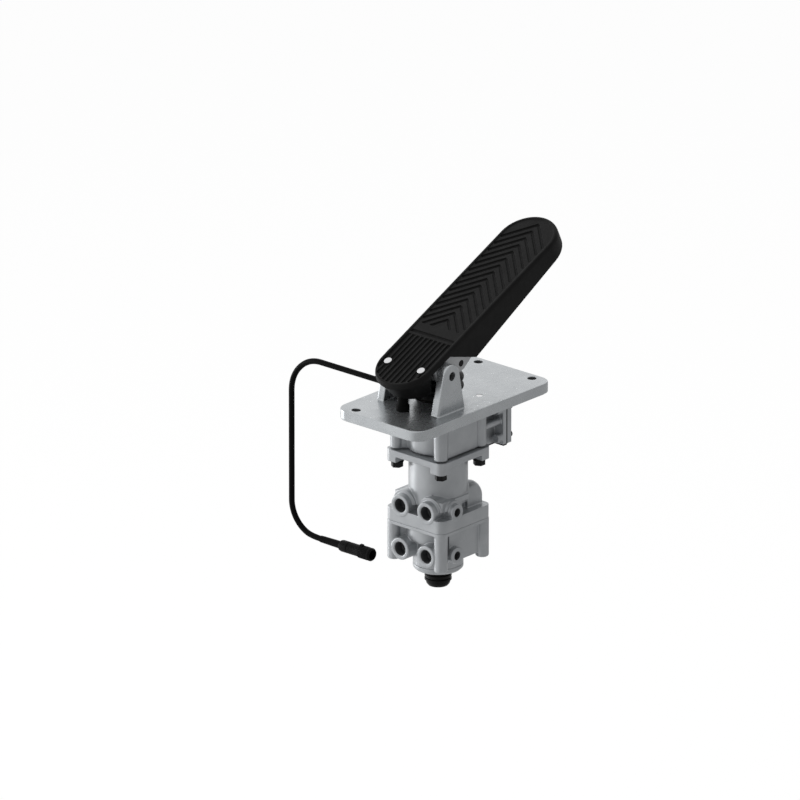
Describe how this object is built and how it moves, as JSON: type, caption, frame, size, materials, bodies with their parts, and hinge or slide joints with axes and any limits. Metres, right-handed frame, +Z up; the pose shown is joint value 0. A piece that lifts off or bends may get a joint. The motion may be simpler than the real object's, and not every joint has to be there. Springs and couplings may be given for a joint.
{
  "type": "service brake valve",
  "caption": "Foot-operated dual-circuit air brake valve: treadle on a floor plate over a ported valve with sensor lead.",
  "frame": {"origin": "on the underside of the pedal plate, where the valve's axis crosses it", "axes": "+Z up out of the plate, +X towards the toe of the pedal, -Z down along the valve"},
  "size_m": [0.3159, 0.3666, 0.4481],
  "materials": {
    "cast_aluminium": "shot-blasted, satin",
    "lever_aluminium": "cast, satin",
    "tread_rubber": "moulded, matt",
    "moulded_black": "moulded, satin",
    "stop_rubber": "moulded, matt",
    "bright_steel": "zinc plated",
    "bush_polymer": "machined",
    "gasket_black": "cut sheet",
    "black_steel": "black coated",
    "inner_rubber": "moulded",
    "piston_aluminium": "turned",
    "spring_steel": "drawn wire",
    "silencer_black": "moulded, satin",
    "cable_jacket": "extruded jacket, satin",
    "plug_black": "moulded, satin"
  },
  "bodies": {
    "valve": {"pedal_plate": "cast_aluminium", "pivot_pin": "bright_steel", "heel_stop": "stop_rubber", "plunger_guide": "bush_polymer", "dust_boot": "stop_rubber", "spring_housing": "cast_aluminium", "sensor_gasket": "gasket_black", "sensor_cover": "cast_aluminium", "cover_screws": "black_steel", "position_sensor": "moulded_black", "body_gasket": "gasket_black", "upper_body": "cast_aluminium", "lower_body": "cast_aluminium", "foot_cover": "cast_aluminium", "flange_bolts": "black_steel", "body_screws": "black_steel", "primary_return_spring": "spring_steel", "relay_return_spring": "spring_steel", "primary_valve_guide": "bush_polymer", "primary_valve_spring": "spring_steel", "primary_guide_clip": "spring_steel", "secondary_valve_guide": "bush_polymer", "secondary_valve_spring": "spring_steel", "secondary_guide_clip": "spring_steel", "exhaust_silencer": "silencer_black", "cable_gland": "plug_black", "sensor_cable": "cable_jacket", "plug_sleeve": "cable_jacket", "cable_plug": "plug_black"},
    "pedal": {"treadle_lever": "lever_aluminium", "treadle_pad": "tread_rubber", "heel_block": "moulded_black", "pedal_rivets": "bright_steel", "pivot_bushes": "bush_polymer", "roller_pin": "bright_steel"},
    "roller": {"pedal_roller": "bright_steel"},
    "plunger": {"plunger": "bright_steel", "graduating_spring": "inner_rubber"},
    "primary_piston": {"primary_piston": "piston_aluminium", "primary_piston_seal": "inner_rubber"},
    "relay_piston": {"relay_piston": "piston_aluminium", "relay_piston_seal": "inner_rubber"},
    "primary_valve": {"primary_valve": "piston_aluminium", "primary_valve_seal": "inner_rubber"},
    "secondary_valve": {"secondary_valve": "piston_aluminium", "secondary_valve_seal": "inner_rubber"}
  },
  "joints": [
    {"name": "pedal_hinge", "type": "hinge", "parent": "valve", "child": "pedal", "pos_m": [-0.0305, 0, 0.059], "axis": [0, 1, 0], "range_deg": [0, 20], "stiffness_Nm_per_rad": 6, "springref_deg": -20.05},
    {"name": "roller_spin", "type": "hinge", "parent": "pedal", "child": "roller", "pos_m": [0, 0, 0.06438], "axis": [0, 1, 0], "continuous": true},
    {"name": "plunger_slide", "type": "slide", "parent": "valve", "child": "plunger", "axis": [0, 0, -1], "range_m": [0, 0.01076], "deforming": ["dust_boot", "graduating_spring"]},
    {"name": "primary_piston_slide", "type": "slide", "parent": "valve", "child": "primary_piston", "axis": [0, 0, -1], "range_m": [0, 0.003], "deforming": ["primary_return_spring"]},
    {"name": "relay_piston_slide", "type": "slide", "parent": "valve", "child": "relay_piston", "axis": [0, 0, -1], "range_m": [0, 0.003], "deforming": ["relay_return_spring"]},
    {"name": "primary_valve_slide", "type": "slide", "parent": "valve", "child": "primary_valve", "axis": [0, 0, -1], "range_m": [0, 0.0012], "deforming": ["primary_valve_spring"]},
    {"name": "secondary_valve_slide", "type": "slide", "parent": "valve", "child": "secondary_valve", "axis": [0, 0, -1], "range_m": [0, 0.0012], "deforming": ["secondary_valve_spring"]}
  ],
  "couplings": [
    {"joint": "plunger_slide", "follows": "pedal_hinge", "m_per_rad": 0.030813},
    {"joint": "primary_piston_slide", "follows": "pedal_hinge", "m_per_rad": 0.008594},
    {"joint": "relay_piston_slide", "follows": "pedal_hinge", "m_per_rad": 0.008594},
    {"joint": "primary_valve_slide", "follows": "pedal_hinge", "m_per_rad": 0.003437},
    {"joint": "secondary_valve_slide", "follows": "pedal_hinge", "m_per_rad": 0.003437}
  ]
}
